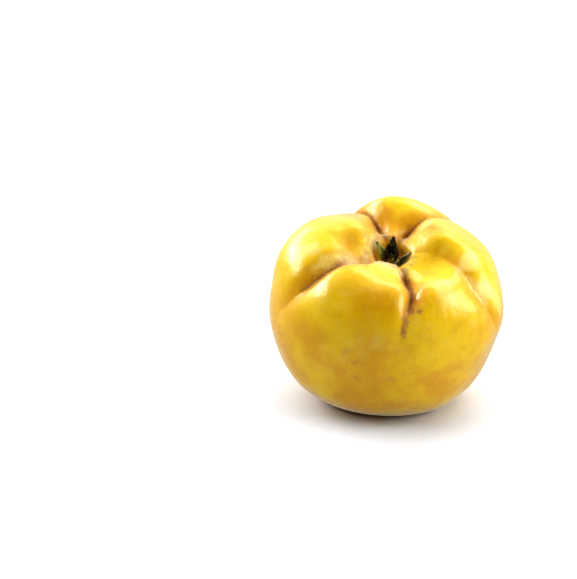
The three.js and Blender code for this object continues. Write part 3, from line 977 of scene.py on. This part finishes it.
class QUINCE_OT_calyx(bpy.types.Operator):
    """Models the dried calyx: its cushion, its five sepals and the stamens between them"""

    bl_idname = "quince.calyx"
    bl_label = "Calyx"

    def execute(self, context):
        settings = context.scene.quince_calyx
        make_cushion(settings)
        for number, (name, form) in enumerate(SEPALS.items()):
            make_sepal(name, number, form, settings)
        draw = np.random.RandomState(STAMEN_DRAWS["seed"])
        stamens = [make_stamen(number, draw) for number in range(STAMENS["count"])]
        deselect_all()
        for stamen in stamens:
            stamen.select_set(True)
        bpy.context.view_layer.objects.active = stamens[0]
        bpy.ops.object.join()
        stamens[0].name = stamens[0].data.name = "stamens"
        material = dry_material("dry_stamens", settings.dark, settings.stamen, 0.0004)
        finish_piece(stamens[0], material, "calyx", "calyx")
        return {"FINISHED"}


HAIR_FACES = (3, 4)  # round a hair and along it
DOWN_TRIES = 60000
DOWN_ALONG = (0.56, 0.93)
DOWN_SEED = 23
BASIN_START = 0.79  # way along the outline where the basin's down takes over
# Where the down grows beside the creases: way along, azimuth, reach along and round, and
# how pale it is there.
RIM_DOWN = (
    (0.81, 262, 1.8, 14), (0.80, 290, 1.6, 3), (0.81, 226, 3, 8), (0.82, 60, 4, 4),
    (0.82, 108, 4, 4), (0.84, 150, 4, 6),
)


def down_places(draw, count):
    """Places on the skin where tufts of down grow, and how pale each tuft is."""
    along = draw.uniform(*DOWN_ALONG, DOWN_TRIES)
    azimuth = draw.uniform(0, 360, DOWN_TRIES)
    radius = on_curve(OUTLINE, along)[0][:, 0]
    rim = spots(along, azimuth, RIM_DOWN)
    film = spots(along, azimuth, BLOOM)
    thickness = crease_share(along, azimuth, radius, 1.7)
    thickness = np.maximum(thickness, 0.6 * rim)
    thickness = np.maximum(thickness, 0.3 * film)
    grown = draw.uniform(0, 1, DOWN_TRIES) * BELLY_RADIUS < thickness * radius
    paleness = np.maximum(rim, 0.7 * film)
    return along[grown][:count], azimuth[grown][:count], paleness[grown][:count]


def make_down(name, skin, along, azimuth, paleness, settings, draw):
    """Tufts of matted hairs, each of them a copy of one hair that is bent and laid down."""
    hits = [skin.closest_point_on_mesh(Vector(p) * MM)[1:3] for p in placed(on_skin(along, azimuth))]
    roots = np.repeat([hit[0] for hit in hits], settings.hairs, axis=0) / MM
    outward = np.repeat([hit[1] for hit in hits], settings.hairs, axis=0)
    piece, round_, up = ball(name, *HAIR_FACES)
    copies = piece.modifiers.new("copies", "ARRAY")
    copies.count = len(roots)
    copies.use_relative_offset = False
    apply_modifiers(piece)

    onward = np.cross(outward, draw.normal(size=outward.shape))
    onward /= np.linalg.norm(onward, axis=1)[:, None]
    sideways = np.cross(outward, onward)
    count = len(roots)
    size = settings.hair_length / MM * draw.uniform(0.4, 1, count)
    rise = draw.uniform(0.15, 1.2, count)
    bow = size * draw.uniform(-0.3, 0.3, count)
    start = draw.normal(scale=0.45, size=(2, count))
    roots = roots + onward * start[0][:, None] + sideways * start[1][:, None] - 0.06 * outward
    up_hair = (size * np.sin(rise))[:, None] * up * (1 - 0.35 * up)
    on_hair = (size * np.cos(rise))[:, None] * up
    side_hair = bow[:, None] * np.sin(np.pi * up)
    thick = settings.hair_width / MM / 2 * np.sqrt(np.sin(np.pi * up)) * (1 - 0.4 * up)
    turn = 2 * np.pi * round_
    up_hair = up_hair + thick * np.sin(turn)
    side_hair = side_hair + thick * np.cos(turn)
    points = (
        roots[:, None]
        + up_hair[:, :, None] * outward[:, None]
        + on_hair[:, :, None] * onward[:, None]
        + side_hair[:, :, None] * sideways[:, None]
    )
    set_coordinates(piece.data, points.reshape(-1, 3))
    shade = np.repeat(paleness, settings.hairs) + draw.uniform(-0.2, 0.35, count)
    set_attribute(piece.data, "paleness", np.repeat(shade, len(up)))
    finish_piece(piece, down_material(settings), "skin")


class QUINCE_OT_down(bpy.types.Operator):
    """Grows the matted down in the creases and round the basin"""

    bl_idname = "quince.down"
    bl_label = "Down"

    def execute(self, context):
        skin = bpy.data.objects.get("skin")
        if skin is None:
            raise RuntimeError("The down needs the skin to grow on.")
        settings = context.scene.quince_down
        draw = np.random.RandomState(DOWN_SEED)
        along, azimuth, paleness = down_places(draw, settings.tufts)
        inside = along > BASIN_START
        for name, chosen in (("crease_down", ~inside), ("basin_down", inside)):
            where = along[chosen], azimuth[chosen], paleness[chosen]
            make_down(name, skin, *where, settings, draw)
        return {"FINISHED"}


class QUINCE_OT_stalk(bpy.types.Operator):
    """Models the bark and the scar of the stalk's stub"""

    bl_idname = "quince.stalk"
    bl_label = "Stalk"

    def execute(self, context):
        settings = context.scene.quince_stalk
        piece, round_, up = ball("stalk_bark", 96, 96)
        radius, height = on_profile(STALK_OUTLINE, up)
        turn = 2 * np.pi * round_
        fluted = 0.07 * np.cos(3 * turn + 0.5 * height) + 0.04 * np.sin(5 * turn)
        grain = around(3, turn, 0.3 * height)
        fissures = settings.fissures / MM * noise_at(grain, 1, 4) * np.minimum(1, radius)
        radius = radius * (1 + fluted) + fissures
        lean = math.radians(STALK_LEAN)
        cos, sin = math.cos(lean), math.sin(lean)
        x, y = radius * np.cos(turn), radius * np.sin(turn)
        y, z = y * cos - height * sin, y * sin + height * cos
        roof = on_curve(OUTLINE, np.array([0.0]))[0][0, 1]
        points = np.stack([x, y, z + roof - CLEARANCE - STALK_SUNK], axis=1)
        set_coordinates(piece.data, placed(points))
        bark, wood = settings.bark, settings.wood
        material = dry_material("stalk_bark", bark, wood, 0.0005, stretch=5, relief=0.0004)
        finish_piece(piece, material, "stalk", "stalk_stub")
        return {"FINISHED"}


class QUINCE_OT_studio(bpy.types.Operator):
    """Lays the pale floor and places the soft lights and the camera"""

    bl_idname = "quince.studio"
    bl_label = "Studio"

    def execute(self, context):
        settings = context.scene.quince_studio
        deselect_all()
        bpy.ops.mesh.primitive_plane_add(size=8)
        floor = context.object
        floor.name = "floor"
        floor.data.materials.append(floor_material(settings.floor))
        floor.visible_glossy = False
        context.scene.world = soft_world(settings)
        context.scene.view_settings.view_transform = "Standard"
        context.scene.view_settings.look = "High Contrast"
        for name, light in LIGHTS.items():
            add_softbox(name, *light)
        bpy.data.objects["top"].visible_glossy = False
        add_camera()
        return {"FINISHED"}


# How the surroundings brighten, towards the back and down below the horizon: where that
# starts and ends along Y or Z, and the light at its start and its end.
WORLD_BACK = (-0.2, 0.8, 0.02, 0.4)
WORLD_BELOW = (-0.3, -0.9, 0.02, 0.24)
BACKDROP = 0.8  # how much brighter the surroundings are where they are seen directly


def soft_world(settings):
    """Surroundings that are dark in front of the fruit, and pale behind and below it."""
    shader = Shader("soft_surroundings", bpy.data.worlds, "Background")
    place = shader.node("ShaderNodeTexCoord", output="Generated")
    back, below = (
        shader.span(shader.node("ShaderNodeSeparateXYZ", axis, {"Vector": place}), *fade)
        for axis, fade in (("Y", WORLD_BACK), ("Z", WORLD_BELOW))
    )
    strength = shader.math("MULTIPLY", shader.math("MAXIMUM", back, below), settings.ambient)
    seen = shader.node("ShaderNodeLightPath", "Is Camera Ray")
    strength = shader.math("MULTIPLY_ADD", seen, BACKDROP, strength)
    shader.set(Color=(1.0, 1.0, 1.0, 1.0), Strength=strength)
    return shader.made


# Soft lights: azimuth (0 in front, 90 on the right) and height in degrees, distance in
# metres, width and height in metres, and radiance in watts per steradian and square metre.
LIGHTS = {
    "left": (-108, 30, 1.1, (1.2, 0.26), 8.0),
    "back_left": (-150, 24, 1.1, (0.5, 0.26), 2.8),
    "right": (78, 24, 1.25, (1.0, 0.75), 4.6),
    "back_right": (142, 46, 1.3, (0.8, 0.6), 2.0),
    "top": (180, 78, 1.6, (3.2, 2.4), 1.45),
}


def add_softbox(name, azimuth, height, distance, size, radiance):
    data = bpy.data.lights.new(name, "AREA")
    data.shape = "RECTANGLE"
    data.size, data.size_y = size
    data.energy = radiance * math.pi * size[0] * size[1]
    lamp = bpy.data.objects.new(name, data)
    bpy.context.scene.collection.objects.link(lamp)
    turn, rise = math.radians(azimuth), math.radians(height)
    way = Vector((math.sin(turn) * math.cos(rise), -math.cos(turn) * math.cos(rise), math.sin(rise)))
    lamp.location = Vector((0, 0, MIDDLE_HEIGHT * MM)) + distance * way
    lamp.rotation_euler = (-way).to_track_quat("-Z", "Y").to_euler()


# The camera: it looks along +Y and down by its tilt, with its lens in millimetres on a
# 36 mm sensor, and the fruit's middle is at that pixel of a picture of that size.
CAMERA = {"tilt": 20, "lens": 93, "distance": 598, "picture": (577, 579), "middle": (386, 306)}


def add_camera():
    data = bpy.data.cameras.new("camera")
    data.lens = CAMERA["lens"]
    data.sensor_width = 36
    camera = bpy.data.objects.new("camera", data)
    bpy.context.scene.collection.objects.link(camera)
    tilt = math.radians(CAMERA["tilt"])
    width, height = CAMERA["picture"]
    reach = CAMERA["distance"] * 36 / (CAMERA["lens"] * max(width, height))
    across = (CAMERA["middle"][0] - width / 2) * reach
    down = (CAMERA["middle"][1] - height / 2) * reach
    forward = Vector((0, math.cos(tilt), -math.sin(tilt)))
    upward = Vector((0, math.sin(tilt), math.cos(tilt)))
    target = Vector(SHIFT) + Vector((0, 0, MIDDLE_HEIGHT))
    place = target - CAMERA["distance"] * forward - Vector((across, 0, 0)) + down * upward
    camera.location = place * MM
    camera.rotation_euler = (math.radians(90 - CAMERA["tilt"]), 0, 0)
    bpy.context.scene.camera = camera


class QUINCE_PT_panel(bpy.types.Panel):
    """Lists the quince's settings and the steps that make it"""

    bl_idname = "QUINCE_PT_panel"
    bl_label = "Quince"
    bl_space_type = "VIEW_3D"
    bl_region_type = "UI"
    bl_category = "Quince"

    def draw(self, context):
        for name, group in SETTINGS.items():
            box = self.layout.box()
            for prop in group.__annotations__:
                box.prop(getattr(context.scene, name), prop)
        for step in STEPS:
            self.layout.operator(step.bl_idname)


STEPS = (QUINCE_OT_skin, QUINCE_OT_down, QUINCE_OT_calyx, QUINCE_OT_stalk, QUINCE_OT_studio)


def register():
    for name, group in SETTINGS.items():
        bpy.utils.register_class(group)
        setattr(bpy.types.Scene, name, bpy.props.PointerProperty(type=group))
    for step in STEPS:
        bpy.utils.register_class(step)
    bpy.utils.register_class(QUINCE_PT_panel)


def unregister():
    bpy.utils.unregister_class(QUINCE_PT_panel)
    for step in reversed(STEPS):
        bpy.utils.unregister_class(step)
    for name, group in reversed(SETTINGS.items()):
        delattr(bpy.types.Scene, name)
        bpy.utils.unregister_class(group)


def main():
    register()
    bpy.ops.quince.skin()
    bpy.ops.quince.down()
    bpy.ops.quince.calyx()
    bpy.ops.quince.stalk()
    bpy.ops.quince.studio()


if __name__ == "__main__":
    main()
